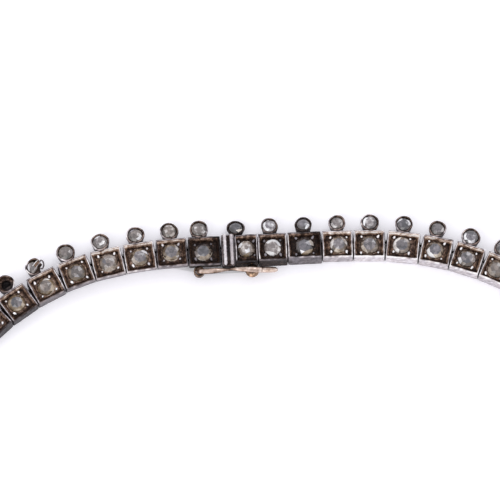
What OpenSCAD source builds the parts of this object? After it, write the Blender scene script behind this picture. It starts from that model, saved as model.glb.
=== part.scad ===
// Rose-cut diamond necklace of hinged silver boxes, lying closed on a flat surface.
// The origin is under the middle of the clasp box, where the two ends of the row meet.
// X runs along the row at the clasp, Y points out of the loop, Z points up. All sizes are in millimetres.

/* [Row of boxes] */
// Boxes and end block in the closed loop
units = 73; // [71:1:73]
// Play between the end block and the mouth of the clasp box
mouth_gap = 0.1; // [0.08:0.01:0.15]
// How unevenly the hand-made boxes are cut, as a share of the usual amount
unevenness = 1; // [0:0.1:1]

/* [Box] */
// Length of a plain box along the row
box_w = 4.92; // [4.8:0.01:4.95]
// Depth of a box across the row
box_d = 4.4; // [4.2:0.05:4.5]
// Height of a box
box_h = 3; // [2.9:0.05:3.2]
// Thickness of the side walls below the pocket
wall = 0.32; // [0.28:0.01:0.4]
// Thickness of the rim left standing round the pocket
rim = 0.16; // [0.12:0.01:0.2]
// Depth of the cut-down pocket
pocket_depth = 0.65; // [0.5:0.05:0.7]
// How far the pocket's walls lean in
pocket_lean = 0.42; // [0.3:0.02:0.46]
// Thickness of the plate that holds the stone
plate_t = 0.6; // [0.5:0.05:0.7]

/* [Main stones] */
// Radius of a main stone
stone_r = 1.48; // [1.4:0.01:1.5]
// Radius of the stone in the clasp box
clasp_stone_r = 1.4; // [1.3:0.01:1.41]
// Height of a main stone from its flat base to its table
stone_h = 1; // [0.8:0.05:1.1]
// Depth of the seat cut for a stone
seat_depth = 0.27; // [0.2:0.01:0.3]
// Radius of a grain that holds a stone down
grain_r = 0.24; // [0.2:0.01:0.26]

/* [Small cups] */
// Radius of a cup at its top, where it isn't set for its own box
cup_r = 1.48; // [1.4:0.01:1.5]
// Radius of a cup's foot as a share of the radius at its top
cup_taper = 0.8; // [0.75:0.01:0.85]
// Width of a cup's rim round its stone
cup_rim = 0.38; // [0.37:0.01:0.44]
// Height of a cup
cup_h = 2.2; // [1.8:0.05:2.3]
// Distance of the middle of a cup's rim from the middle of its box
cup_out = 3.72; // [3.7:0.01:3.76]
// Outward lean of a cup in degrees, where it isn't set for its own box
cup_lean = 10; // [8:1:12]
// Height of a small stone
cup_stone_h = 0.6; // [0.5:0.05:0.7]

/* [Wire loops] */
// Radius of the wire that joins two boxes
wire_r = 0.21; // [0.18:0.01:0.22]
// Distance of each leg of a wire loop from the middle of its box
leg_y = 0.9; // [0.85:0.01:0.95]
// Reach of a wire loop past the end of its box
loop_reach = 1.3; // [1.25:0.01:1.35]
// Radius of the hole that a leg passes through
leg_hole_r = 0.48; // [0.46:0.01:0.5]
// Height of the wire loops above the surface
leg_z = 0.85; // [0.8:0.01:0.9]

/* [Clasp] */
// Length of the clasp box along the row
clasp_w = 3.55; // [3.5:0.01:3.6]
// Length of the tongue's end block along the row
block_w = 2.2; // [2.1:0.05:2.3]
// Height of the end block without its ribs
block_h = 2.7; // [2.6:0.05:2.8]
// Radius of the two ribs across the end block
rib_r = 0.27; // [0.2:0.01:0.28]
// Width of the folded tongue
tongue_w = 2.6; // [2.4:0.05:2.8]
// Thickness of the tongue's sheet
tongue_t = 0.26; // [0.22:0.01:0.28]

/* [Safety catch] */
// Distance of the catch's hinge axis left of the clasp box's middle
hinge_x = 7.85; // [7.6:0.05:8]
// Distance of the catch's hinge axis from the row's middle line
hinge_y = 3.3; // [3.3:0.01:3.4]
// Height of the catch's middle above the surface
catch_z = 1.9; // [1.7:0.05:1.9]
// Radius of the hinge pin
pin_r = 0.5; // [0.45:0.01:0.52]
// Running clearance of the pin in its tube
pin_play = 0.08; // [0.06:0.01:0.1]
// Outer radius of the hinge tube
tube_r = 0.88; // [0.86:0.01:0.9]
// Length of the hinge tube
tube_h = 1; // [0.9:0.05:1]
// Length of the catch from the hinge axis to its free end
catch_len = 12.8; // [12.6:0.1:13]
// Distance of the catch's waist from the hinge axis
waist_x = 4.7; // [4.6:0.05:4.8]
// Height of the catch's two eyes, outside
eye_h = 2; // [2:0.01:2.1]
// Distance of the long eye's far end from the hinge axis
eye_end = 10.6; // [10.4:0.1:10.8]
// Height of the thumb tab past the long eye
tab_h = 1; // [0.8:0.1:1.2]
// Thickness of the catch's flattened wire
catch_t = 0.42; // [0.38:0.01:0.42]
// Width of the wire, across the catch
catch_w = 0.62; // [0.5:0.02:0.66]
// Degrees that the closed catch slants away from the row
catch_slant = 2; // [1.5:0.1:2.5]
// Radius of the stud's button, which the long eye closes over
button_r = 1.12; // [1:0.02:1.14]
// Thickness of the button
button_t = 0.9; // [0.8:0.05:0.9]
// Distance of the button from the row's middle line
button_y = 3.5; // [3.45:0.01:3.6]

/* [Hidden] */
$fn = 32;
eps = 0.02;

// Stretches of the line that the boxes' inner sides follow, from the clasp outwards
LENGTH = 0;
TURN = 1;
right_stretches = [[10, 0], [10, 2.5], [55, 65]];
left_stretches = [[9.5, 0], [11.5, 9], [48, 70]];

// Boxes next to the clasp, clockwise: length, then how far the small cup sits along it, its lean,
// its radius, and how much lower it sits than the others, if it does.
// The first rows start at the clasp box, the last rows end at the end block.
WIDTH = 0;
SHIFT = 1;
LEAN = 2;
CUP_R = 3;
DROP = 4;
first_rows = [[clasp_w, -1.57, 22, 1.46, 1.2], [4.6, -0.35, 12, 1.41], [5.4, -0.04, 20, 1.42],
    [4.85, 0.02, 4, 1.38], [4.95, 0.1, 8, 1.5], [5.2, -0.19, 10, 1.48], [4.85, -0.49, 4, 1.41],
    [4.8, -0.54, 8, 1.55], [4.6, -0.5, 8, 1.48]];
last_rows = [[4.9, 0.2, 4, 1.5], [4.9, -0.16, 8, 1.52], [4.9, -0.45, 8, 1.55], [4.9, -0.42, 12, 1.53],
    [4.9, -0.21, 10, 1.51], [4.9, -0.16, 8, 1.49], [5.15, -0.73, 12, 1.56], [block_w]];

// Their main stones: radius, and how far off the box's middle each one is set, along and across the row
STONE_R = 0;
STONE_X = 1;
STONE_Y = 2;
first_stones = [[clasp_stone_r, 0, 0.08], [1.44, 0, 0.07], [1.56, 0, 0.07], [1.47, 0.2, 0.1], [1.56, 0.07, 0],
    [1.47, -0.2, 0.15], [1.46, -0.2, 0.17], [1.5, -0.13, 0.1], [1.5, -0.1, 0.08]];
last_stones = [[1.46, -0.2, 0.14], [1.48, -0.09, -0.07], [1.54, 0.08, 0.02], [1.52, 0.09, 0.05],
    [1.5, 0, -0.05], [1.48, -0.08, 0.15], [1.47, -0.2, -0.08]];

clasp_unit = 0;
hinge_unit = units - 2;
block_unit = units - 1;
empty_cup_unit = units - 8;
half_way = 36;

pocket_z = box_h - pocket_depth;
plate_z = pocket_z - plate_t;
seat_z = pocket_z - seat_depth;
stone_play = 0.1;
stone_z = seat_z + stone_play;
cup_top_z = box_h - 0.1;
cup_seat_depth = 0.46;
inner_line_y = -box_d / 2;

// Even but irregular variation between -1 and 1 for a box, one series for each purpose
function vary(i, series) = unevenness * sin(i * 137.5 + series * 61);
function row_of(i) =
    i < len(first_rows) ? first_rows[i]
    : i >= units - len(last_rows) ? last_rows[i - units + len(last_rows)]
    : [box_w + 0.06 * vary(i, 1), -0.2 + 0.3 * vary(i, 2), cup_lean + 6 * vary(i, 6),
        cup_r + 0.06 * vary(i, 7)];
function unit_w(i) = row_of(i)[WIDTH];
function drop(row) = len(row) > DROP ? row[DROP] : 0;
function cup_y(row) = cup_out + 0.27 * drop(row);
function cup_len(row) = cup_h - 0.75 * drop(row);
function stone_of(i) =
    i < len(first_stones) ? first_stones[i]
    : i >= block_unit - len(last_stones) ? last_stones[i - block_unit + len(last_stones)]
    : [stone_r + 0.05 * vary(i, 3), 0.08 * vary(i, 20), 0.06 + 0.06 * vary(i, 21)];
function sum_rows(rows, column, n) = n == 0 ? 0 : rows[n - 1][column] + sum_rows(rows, column, n - 1);

// A pose is [x, y, heading]; a positive turn is clockwise, seen from above
function go(pose, length, turn) =
    abs(turn) < 0.001
    ? [pose[0] + length * cos(pose[2]), pose[1] + length * sin(pose[2]), pose[2]]
    : let (r = length * 180 / (turn * PI), end = pose[2] - turn)
      [pose[0] + r * (sin(pose[2]) - sin(end)), pose[1] + r * (cos(end) - cos(pose[2])), end];
function walk(rows, n) =
    n == 0 ? [0, inner_line_y, 0] : go(walk(rows, n - 1), rows[n - 1][LENGTH], rows[n - 1][TURN]);

// The front closes the loop with two arcs of equal turn, whose lengths follow from the gap they bridge
right_end = walk(right_stretches, len(right_stretches));
left_end = walk(left_stretches, len(left_stretches));
front_turn = (360 + right_end[2] + left_end[2]) / 2;
bridge = [-left_end[0] - right_end[0], left_end[1] - right_end[1]];
unit_a = go([0, 0, right_end[2]], 1, front_turn);
unit_b = go([0, 0, unit_a[2]], 1, front_turn);
cross_ab = unit_a[0] * unit_b[1] - unit_b[0] * unit_a[1];
front_a = (bridge[0] * unit_b[1] - unit_b[0] * bridge[1]) / cross_ab;
front_b = (unit_a[0] * bridge[1] - bridge[0] * unit_a[1]) / cross_ab;
stretches = concat(right_stretches, [[front_a, front_turn], [front_b, front_turn]],
    [for (i = [len(left_stretches) - 1 : -1 : 0]) left_stretches[i]]);
starts = [for (n = [0 : len(stretches)]) walk(stretches, n)];
marks = [for (n = [0 : len(stretches)]) sum_rows(stretches, LENGTH, n)];
loop_len = marks[len(stretches)];

function stretch_at(s) = max([0, for (k = [0 : len(stretches) - 1]) if (s >= marks[k]) k]);
function point_at(s) =
    let (k = stretch_at(s), part = s - marks[k], row = stretches[k])
    go(starts[k], part, row[TURN] * part / row[LENGTH]);

// Boxes stand on chords of the inner line, with one equal gap between all of them but the clasp's mouth
rows = [for (i = [0 : units - 1]) row_of(i)];
gap = (loop_len - sum_rows(rows, WIDTH, units) - mouth_gap) / (units - 1);
edges = [for (i = 0, s = -unit_w(0) / 2; i < units; s = s + unit_w(i) + gap, i = i + 1) s];
poses = [for (i = [0 : units - 1])
    let (a = point_at(edges[i]), b = point_at(edges[i] + unit_w(i)), turn = atan2(b[1] - a[1], b[0] - a[0]))
    [(a[0] + b[0]) / 2 + inner_line_y * sin(turn), (a[1] + b[1]) / 2 - inner_line_y * cos(turn), turn]];

module place(i) {
    translate([poses[i][0], poses[i][1], 0])
        rotate(poses[i][2])
            children();
}

// A prism across the pocket, wide at the rim and narrow at the plate
module pocket_prism(half_w, length) {
    top = half_w - rim;
    low = top - pocket_lean;
    slope = pocket_lean / pocket_depth;
    rotate([90, 0, 0])
        linear_extrude(height = length, center = true)
            polygon([[-low, pocket_z], [low, pocket_z], [top + slope, box_h + 1], [-top - slope, box_h + 1]]);
}

module pocket(w) {
    intersection() {
        pocket_prism(w / 2, box_d * 2);
        rotate(90)
            pocket_prism(box_d / 2, box_d * 2);
    }
}

module leg_holes(w) {
    for (side = [-1, 1])
        translate([-w / 2 - eps, side * leg_y, leg_z])
            rotate([0, 90, 0])
                cylinder(r = leg_hole_r, h = wall + 2 * eps);
}

// The wire loop at the box's far end: two legs and the bar that closes them inside the next box
module wire_loop(w) {
    for (side = [-1, 1])
        translate([w / 2 - wall / 2, side * leg_y, leg_z])
            rotate([0, 90, 0])
                cylinder(r = wire_r, h = loop_reach + wall / 2, $fn = 6);
    translate([w / 2 + loop_reach, 0, leg_z])
        rotate([90, 0, 0])
            cylinder(r = wire_r * 1.1, h = 2 * (leg_y + wire_r), center = true, $fn = 6);
}

module grains(w, r) {
    reach = r + grain_r + stone_play;
    grain_x = min(reach * 0.74, w / 2 - rim - grain_r - 0.1);
    grain_y = sqrt(reach * reach - grain_x * grain_x);
    for (side_x = [-1, 1], side_y = [-1, 1])
        translate([side_x * grain_x, side_y * grain_y, pocket_z + 0.06])
            sphere(r = grain_r);
}

// Frame of a cup: origin in the middle of its rim, Z out of its mouth
module at_cup(row) {
    translate([row[SHIFT], cup_y(row), cup_top_z - drop(row)])
        rotate([-row[LEAN], 0, 0])
            children();
}

// A tapered cup on a solder neck
module cup(row) {
    neck_w = 1.2;
    neck_h = min(1.3, cup_len(row) - 0.5);
    neck_x = max(row[SHIFT], (neck_w - row[WIDTH]) / 2 + eps);
    neck_z = cup_top_z - drop(row) - cup_len(row) + 0.35;
    difference() {
        union() {
            at_cup(row)
                translate([0, 0, -cup_len(row)])
                    cylinder(r1 = row[CUP_R] * cup_taper, r2 = row[CUP_R], h = cup_len(row));
            translate([neck_x - neck_w / 2, box_d / 2 - wall / 2, neck_z])
                cube([neck_w, cup_y(row) - box_d / 2 - 0.5, neck_h]);
        }
        at_cup(row)
            translate([0, 0, -cup_seat_depth])
                cylinder(r = row[CUP_R] - cup_rim + stone_play, h = 1);
    }
}

// One setting: walls, stone plate, pocket, grains and cup, soldered into one piece
module setting(row, stone) {
    w = row[WIDTH];
    difference() {
        translate([-w / 2, -box_d / 2, 0])
            cube([w, box_d, box_h]);
        pocket(w);
        translate([stone[STONE_X], stone[STONE_Y], seat_z])
            cylinder(r = stone[STONE_R] + stone_play, h = 1);
        children();
    }
    translate([stone[STONE_X], stone[STONE_Y], 0])
        grains(w, stone[STONE_R]);
    cup(row);
}

// Open back under the stone plate
module open_back(w) {
    translate([wall - w / 2, wall - box_d / 2, -1])
        cube([w - 2 * wall, box_d - 2 * wall, plate_z + 1]);
}

module link(i) {
    w = unit_w(i);
    place(i) {
        setting(rows[i], stone_of(i)) {
            open_back(w);
            leg_holes(w);
        }
        wire_loop(w);
    }
}

module links_right() {
    color("dimgray")
        for (i = [1 : half_way])
            link(i);
}

module links_left() {
    color("gray")
        for (i = [half_way + 1 : hinge_unit - 1])
            link(i);
}

// The box before the end block, with the catch's hinge tube soldered to its side on a lug
module hinge_link() {
    lug_w = 0.7;
    tube_z = catch_z - tube_h / 2;
    color("darkslategray") {
        link(hinge_unit);
        difference() {
            union() {
                translate([-hinge_x, -hinge_y, tube_z])
                    cylinder(r = tube_r, h = tube_h);
                translate([-hinge_x - lug_w / 2, -hinge_y + pin_r, tube_z])
                    cube([lug_w, hinge_y - pin_r - box_d / 2 + wall / 2, tube_h]);
            }
            translate([-hinge_x, -hinge_y, tube_z - 1])
                cylinder(r = pin_r + pin_play, h = tube_h + 2);
        }
    }
}

// The clasp box: closed underneath, with a mouth for the tongue and a stud with a button on its inner side
module clasp_box() {
    floor_t = 0.3;
    post_r = 0.3;
    button_x = 0.77;
    flat_r = button_r - button_t / 2;
    mouth_h = plate_z - floor_t - 0.1;
    color("dimgray") {
        place(clasp_unit) {
            setting(rows[clasp_unit], stone_of(clasp_unit)) {
                translate([wall - clasp_w / 2, wall - box_d / 2, floor_t])
                    cube([clasp_w - 2 * wall, box_d - 2 * wall, plate_z - floor_t]);
                translate([-clasp_w / 2 - eps, -tongue_w / 2 - 0.15, floor_t])
                    cube([wall + 2 * eps, tongue_w + 0.3, mouth_h]);
            }
            wire_loop(clasp_w);
        }
        translate([button_x, -button_y, catch_z])
            rotate_extrude()
                union() {
                    translate([flat_r, 0])
                        circle(r = button_t / 2);
                    translate([0, -button_t / 2])
                        square([flat_r, button_t]);
                }
        translate([button_x, -box_d / 2 + wall / 2, catch_z])
            rotate([90, 0, 0])
                cylinder(r = post_r, h = button_y - box_d / 2);
    }
}

// The end block with its cap and two ribs, and the folded tongue that springs into the clasp box.
// The cap stands out over the clasp box's small cup.
module tongue() {
    block_out = 2.05;
    block_in = 2.7;
    block_d = block_out + block_in;
    cap_out = 2.64;
    cap_t = 0.29;
    ribs_x = [-0.45, 0.6];
    corner_r = 0.5;
    blade_start = block_w / 2 - wall / 2;
    blade_end = block_w / 2 + mouth_gap + clasp_w - wall - 0.25;
    leaf_end = block_w / 2 + mouth_gap + wall + 0.1;
    low = 0.45;
    high = plate_z - 0.2;
    color("silver")
        place(block_unit) {
            difference() {
                linear_extrude(height = block_h)
                    difference() {
                        translate([-block_w / 2, -block_in])
                            square([block_w, block_d]);
                        difference() {
                            translate([-block_w / 2 - 1, -block_in - 1])
                                square(corner_r + 1);
                            translate([corner_r - block_w / 2, corner_r - block_in])
                                circle(r = corner_r);
                        }
                    }
                translate([wall - block_w / 2, wall - block_in, -1])
                    cube([block_w - 2 * wall, block_d - 2 * wall, plate_z + 1]);
                leg_holes(block_w);
            }
            translate([-block_w / 2, 0, block_h - cap_t])
                cube([block_w, cap_out, cap_t]);
            for (x = ribs_x)
                translate([x, cap_out, block_h])
                    rotate([90, 0, 0])
                        cylinder(r = rib_r, h = cap_out + block_in);
            translate([0, tongue_w / 2, 0])
                rotate([90, 0, 0])
                    linear_extrude(height = tongue_w)
                        polygon([[blade_start, low], [blade_end, low], [blade_end + 0.1, low + tongue_t / 2],
                            [leaf_end, high], [leaf_end, high - tongue_t], [blade_end - 0.5, low + tongue_t],
                            [blade_start, low + tongue_t]]);
        }
}

// Rounded bar outline with its ends at x = from and x = to
module slot_shape(from, to, height) {
    r = height / 2;
    translate([from + r, 0])
        circle(r = r);
    translate([to - r, 0])
        circle(r = r);
    translate([from + r, -r])
        square([to - from - height, height]);
}

// Flattened wire bent to an eight, upright: a short eye on the pin, a long eye round the stud, a thumb tab
module safety_catch() {
    gap_h = eye_h - 2 * catch_t;
    bend_x = waist_x - eye_h / 2;
    color("rosybrown")
        translate([-hinge_x, -hinge_y, catch_z]) {
            rotate([90, 0, -catch_slant])
                linear_extrude(height = catch_w, center = true)
                    difference() {
                        union() {
                            slot_shape(waist_x - catch_t / 2, eye_end, eye_h);
                            slot_shape(eye_end - tab_h, catch_len, tab_h);
                            translate([0, -eye_h / 2])
                                square([bend_x, eye_h]);
                            translate([bend_x, 0])
                                circle(r = eye_h / 2);
                        }
                        slot_shape(waist_x + catch_t / 2, eye_end - catch_t, gap_h);
                        translate([-1, -gap_h / 2])
                            square([bend_x + 1 - catch_t / 2, gap_h]);
                        translate([bend_x - catch_t / 2, 0])
                            circle(r = gap_h / 2);
                    }
            cylinder(r = pin_r, h = gap_h + 0.2, center = true);
        }
}

// Rose cut: flat base, low girdle, twelve-sided crown of eighteen facets round a six-sided table
module rose_cut(r, h) {
    girdle_h = h * 0.2;
    table_r = r * 0.45;
    girdle = [for (z = [0, girdle_h], k = [0 : 11]) [r * cos(k * 30), r * sin(k * 30), z]];
    table = [for (k = [0 : 5]) [table_r * cos(k * 60), table_r * sin(k * 60), h]];
    base_face = [for (k = [0 : 11]) k];
    table_face = [for (k = [5 : -1 : 0]) 24 + k];
    band = [for (k = [0 : 11]) let (n = (k + 1) % 12) [k, 12 + k, 12 + n, n]];
    crown = [for (k = [0 : 5])
        let (n = (k + 1) % 6, here = 12 + 2 * k, mid = here + 1, before = 12 + (2 * k + 11) % 12)
        each [[24 + k, 24 + n, mid], [24 + k, mid, here], [24 + k, here, before]]];
    polyhedron(points = concat(girdle, table), faces = concat([base_face, table_face], band, crown));
}

module main_stones() {
    color("lightgray")
        for (i = [0 : hinge_unit])
            place(i)
                translate([stone_of(i)[STONE_X], stone_of(i)[STONE_Y], stone_z])
                    rotate(60 * vary(i, 4))
                        rose_cut(stone_of(i)[STONE_R], stone_h);
}

module cup_stones() {
    color("lightgray")
        for (i = [0 : hinge_unit])
            if (i != empty_cup_unit)
                place(i)
                    at_cup(rows[i])
                        translate([0, 0, stone_play - cup_seat_depth])
                            rotate(60 * vary(i, 5))
                                rose_cut(rows[i][CUP_R] - cup_rim, cup_stone_h);
}

links_right();
links_left();
hinge_link();
clasp_box();
tongue();
safety_catch();
main_stones();
cup_stones();
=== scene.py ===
import math
import random

import bmesh
import bpy
from mathutils import Matrix, Vector, noise


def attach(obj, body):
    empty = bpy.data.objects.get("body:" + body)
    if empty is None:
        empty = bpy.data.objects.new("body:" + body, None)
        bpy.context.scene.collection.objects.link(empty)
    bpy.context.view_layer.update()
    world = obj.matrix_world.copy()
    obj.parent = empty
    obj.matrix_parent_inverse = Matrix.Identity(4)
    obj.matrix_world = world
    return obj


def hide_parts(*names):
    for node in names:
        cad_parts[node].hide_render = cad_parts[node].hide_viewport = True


# An old rose-cut diamond necklace of hinged silver boxes, lying closed on a pale surface.
# Everything is modelled in millimetres and scaled to metres when a piece is finished.

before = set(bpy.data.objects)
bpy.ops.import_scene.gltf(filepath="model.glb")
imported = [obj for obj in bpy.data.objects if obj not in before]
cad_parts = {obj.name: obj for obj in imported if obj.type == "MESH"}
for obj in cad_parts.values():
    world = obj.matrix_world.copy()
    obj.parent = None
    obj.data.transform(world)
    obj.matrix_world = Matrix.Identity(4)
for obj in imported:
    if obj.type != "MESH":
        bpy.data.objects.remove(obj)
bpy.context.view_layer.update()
millimetre = 0.001

necklace = {
    "units": 73,                # boxes and the clasp's end block
    "halfWay": 36,              # last box of the right half
    "boxWidth": 4.92,
    "boxDepth": 4.4,
    "mouthGap": 0.1,            # between the end block and the clasp box
    # line that the boxes' inner sides follow from the clasp outwards: length, turn in degrees
    "rightStretches": [(10, 0), (10, 2.5), (55, 65)],
    "leftStretches": [(9.5, 0), (11.5, 9), (48, 70)],
    # units next to the clasp: length, how far the small cup sits along it, its lean and its radius
    "firstRows": [(3.55, -1.57, 22, 1.46), (4.6, -0.35, 12, 1.41), (5.4, -0.04, 20, 1.42),
                  (4.85, 0.02, 4, 1.38), (4.95, 0.1, 8, 1.5), (5.2, -0.19, 10, 1.48),
                  (4.85, -0.49, 4, 1.41), (4.8, -0.54, 8, 1.55), (4.6, -0.5, 8, 1.48)],
    "lastRows": [(4.9, 0.2, 4, 1.5), (4.9, -0.16, 8, 1.52), (4.9, -0.45, 8, 1.55), (4.9, -0.42, 12, 1.53),
                 (4.9, -0.21, 10, 1.51), (4.9, -0.16, 8, 1.49), (5.15, -0.73, 12, 1.56), (2.2, 0, 0, 1)],
    "claspCupDrop": 1.2,        # the clasp box's cup sits lower, under the end block's cap
    # their stones: radius, and how far off the box's middle, along and across the row
    "firstStones": [(1.4, 0, 0.08), (1.44, 0, 0.07), (1.56, 0, 0.07), (1.47, 0.2, 0.1), (1.56, 0.07, 0),
                    (1.47, -0.2, 0.15), (1.46, -0.2, 0.17), (1.5, -0.13, 0.1), (1.5, -0.1, 0.08)],
    "lastStones": [(1.46, -0.2, 0.14), (1.48, -0.09, -0.07), (1.54, 0.08, 0.02), (1.52, 0.09, 0.05),
                   (1.5, 0, -0.05), (1.48, -0.08, 0.15), (1.47, -0.2, -0.08), (0, 0, 0)],
}
halfDepth = necklace["boxDepth"] / 2
claspUnit = 0
hingeUnit = necklace["units"] - 2
blockUnit = necklace["units"] - 1
emptyCup = necklace["units"] - 8      # its stone is lost
tornCup = necklace["units"] - 7       # its rim is torn open


def sinD(angle):
    return math.sin(math.radians(angle))


def cosD(angle):
    return math.cos(math.radians(angle))


def vary(i, series):
    # even but irregular, between -1 and 1, one series for each purpose
    return sinD(i * 137.5 + series * 61)


def go(pose, length, turn):
    # a step along a straight line or an arc; a positive turn is clockwise seen from above
    x, y, heading = pose
    if abs(turn) < 0.001:
        return x + length * cosD(heading), y + length * sinD(heading), heading
    radius = length * 180 / (turn * math.pi)
    end = heading - turn
    return x + radius * (sinD(heading) - sinD(end)), y + radius * (cosD(end) - cosD(heading)), end


def walk(stretches, start):
    poses = [start]
    for length, turn in stretches:
        poses.append(go(poses[-1], length, turn))
    return poses


def besideClasp(i, tables, plain):
    # a unit's entry in the tables for the two sides of the clasp, or else the plain one
    first, last = necklace["first" + tables], necklace["last" + tables]
    if i < len(first):
        return first[i]
    return last[i - necklace["units"]] if i >= necklace["units"] - len(last) else plain


def rowOf(i):
    return besideClasp(i, "Rows", (necklace["boxWidth"] + 0.06 * vary(i, 1), -0.2 + 0.3 * vary(i, 2),
                                   10 + 6 * vary(i, 6), 1.48 + 0.06 * vary(i, 7)))


def stoneOf(i):
    return besideClasp(i, "Stones", (1.48 + 0.05 * vary(i, 3), 0.08 * vary(i, 20),
                                     0.06 + 0.06 * vary(i, 21)))


def layOut():
    # the front closes the loop with two arcs of equal turn, whose lengths follow from the gap they bridge
    start = (0, -halfDepth, 0)
    right = walk(necklace["rightStretches"], start)
    left = walk(necklace["leftStretches"], start)[-1]
    turn = (360 + right[-1][2] + left[2]) / 2
    bridge = (-left[0] - right[-1][0], left[1] - right[-1][1])
    a = go((0, 0, right[-1][2]), 1, turn)
    b = go((0, 0, a[2]), 1, turn)
    cross = a[0] * b[1] - b[0] * a[1]
    frontA = (bridge[0] * b[1] - b[0] * bridge[1]) / cross
    frontB = (a[0] * bridge[1] - bridge[0] * a[1]) / cross
    stretches = (necklace["rightStretches"] + [(frontA, turn), (frontB, turn)]
                 + necklace["leftStretches"][::-1])
    starts = walk(stretches, start)
    marks = [sum(s[0] for s in stretches[:n]) for n in range(len(stretches) + 1)]

    def pointAt(s):
        k = max([0] + [n for n in range(len(stretches)) if s >= marks[n]])
        length, turned = stretches[k]
        part = s - marks[k]
        return go(starts[k], part, turned * part / length)

    rows = [rowOf(i) for i in range(necklace["units"])]
    spare = marks[-1] - sum(r[0] for r in rows) - necklace["mouthGap"]
    gap = spare / (necklace["units"] - 1)
    units, edge = [], -rows[0][0] / 2
    for i, (width, shift, lean, cupRadius) in enumerate(rows):
        ax, ay, _ = pointAt(edge)
        bx, by, _ = pointAt(edge + width)
        heading = math.degrees(math.atan2(by - ay, bx - ax))
        units.append({
            "index": i, "width": width, "shift": shift, "lean": lean, "cupRadius": cupRadius,
            "drop": necklace["claspCupDrop"] if i == claspUnit else 0, "heading": heading,
            "x": (ax + bx) / 2 - halfDepth * sinD(heading), "y": (ay + by) / 2 + halfDepth * cosD(heading),
            "stone": stoneOf(i)})
        edge += width + gap
    return units


units = layOut()
print("laid out", len(units), "units")


def unitMatrix(unit):
    turn = Matrix.Rotation(math.radians(unit["heading"]), 4, "Z")
    return Matrix.Translation((unit["x"], unit["y"], 0)) @ turn


def addObject(name, data):
    obj = bpy.data.objects.new(name, data)
    bpy.context.scene.collection.objects.link(obj)
    return obj


def aimAlong(obj, direction):
    obj.rotation_mode = "QUATERNION"
    obj.rotation_quaternion = direction.to_track_quat("-Z", "Y")


# Camera at the photo's angle, with a long lens

camera = {"azimuth": 2.9, "elevation": 73, "distance": 0.9, "frameWidth": 0.08125,
          "aim": (0.000573, -0.00025, 0.0028)}


def setCamera():
    a, e = camera["azimuth"], camera["elevation"]
    forward = Vector((sinD(a) * cosD(e), cosD(a) * cosD(e), -sinD(e)))
    data = bpy.data.cameras.new("camera")
    data.sensor_width = 36
    data.lens = data.sensor_width * camera["distance"] / camera["frameWidth"]
    data.clip_start, data.clip_end = 0.01, 20
    obj = addObject("camera", data)
    obj.location = Vector(camera["aim"]) - forward * camera["distance"]
    aimAlong(obj, forward)
    bpy.context.scene.camera = obj


setCamera()


# Shader sockets with arithmetic, and a material that makes its own nodes

class Sock:
    def __init__(self, material, socket):
        self.material = material
        self.socket = socket

    def maths(self, operation, a, b):
        return self.material.node("ShaderNodeMath", {"operation": operation}, {0: a, 1: b})

    def __add__(self, other):
        return self.maths("ADD", self, other)

    def __radd__(self, other):
        return self.maths("ADD", other, self)

    def __sub__(self, other):
        return self.maths("SUBTRACT", self, other)

    def __rsub__(self, other):
        return self.maths("SUBTRACT", other, self)

    def __mul__(self, other):
        return self.maths("MULTIPLY", self, other)

    def __rmul__(self, other):
        return self.maths("MULTIPLY", other, self)

    def limit(self, low, high):
        return self.maths("MINIMUM", self.maths("MAXIMUM", self, low), high)


class Finish:
    def __init__(self, name):
        self.material = bpy.data.materials.new(name)
        self.material.use_nodes = True
        self.tree = self.material.node_tree
        self.tree.nodes.clear()

    def node(self, kind, settings, inputs, output=0):
        made = self.tree.nodes.new(kind)
        for key, value in settings.items():
            if key == "stops":
                while len(made.color_ramp.elements) < len(value):
                    made.color_ramp.elements.new(0.5)
                for element, (position, colour) in zip(made.color_ramp.elements, value):
                    element.position = position
                    element.color = (*colour, 1)
            else:
                setattr(made, key, value)
        for key, value in inputs.items():
            if isinstance(value, Sock):
                self.tree.links.new(value.socket, made.inputs[key])
            else:
                made.inputs[key].default_value = value
        return Sock(self, made.outputs[output])

    def place(self, scale=(1, 1, 1)):
        # object coordinates, in metres, stretched by scale
        here = self.node("ShaderNodeTexCoord", {}, {}, "Object")
        return self.node("ShaderNodeMapping", {}, {"Vector": here, "Scale": scale})

    def noise(self, scale, stretch=(1, 1, 1), detail=2, roughness=0.5):
        return self.node("ShaderNodeTexNoise", {}, {
            "Vector": self.place(stretch), "Scale": scale, "Detail": detail, "Roughness": roughness})

    def attribute(self, name):
        return self.node("ShaderNodeAttribute", {"attribute_name": name}, {}, "Fac")

    def ramp(self, factor, stops):
        return self.node("ShaderNodeValToRGB", {"stops": stops}, {"Fac": factor})

    def mix(self, factor, a, b):
        return self.node("ShaderNodeMix", {"data_type": "RGBA"}, {0: factor, 6: a, 7: b}, 2)

    def bump(self, height, distance, strength):
        return self.node("ShaderNodeBump", {}, {
            "Height": height, "Distance": distance, "Strength": strength})

    def close(self, **sockets):
        # names are written without spaces, such as baseColor
        words = {"baseColor": "Base Color", "roughness": "Roughness", "metallic": "Metallic",
                 "normal": "Normal", "ior": "IOR", "specular": "Specular IOR Level",
                 "glow": "Emission Color", "glowStrength": "Emission Strength"}
        surface = self.node("ShaderNodeBsdfPrincipled", {}, {words[k]: v for k, v in sockets.items()})
        output = self.tree.nodes.new("ShaderNodeOutputMaterial")
        self.tree.links.new(surface.socket, output.inputs["Surface"])
        return self.material


# Finishes

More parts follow.
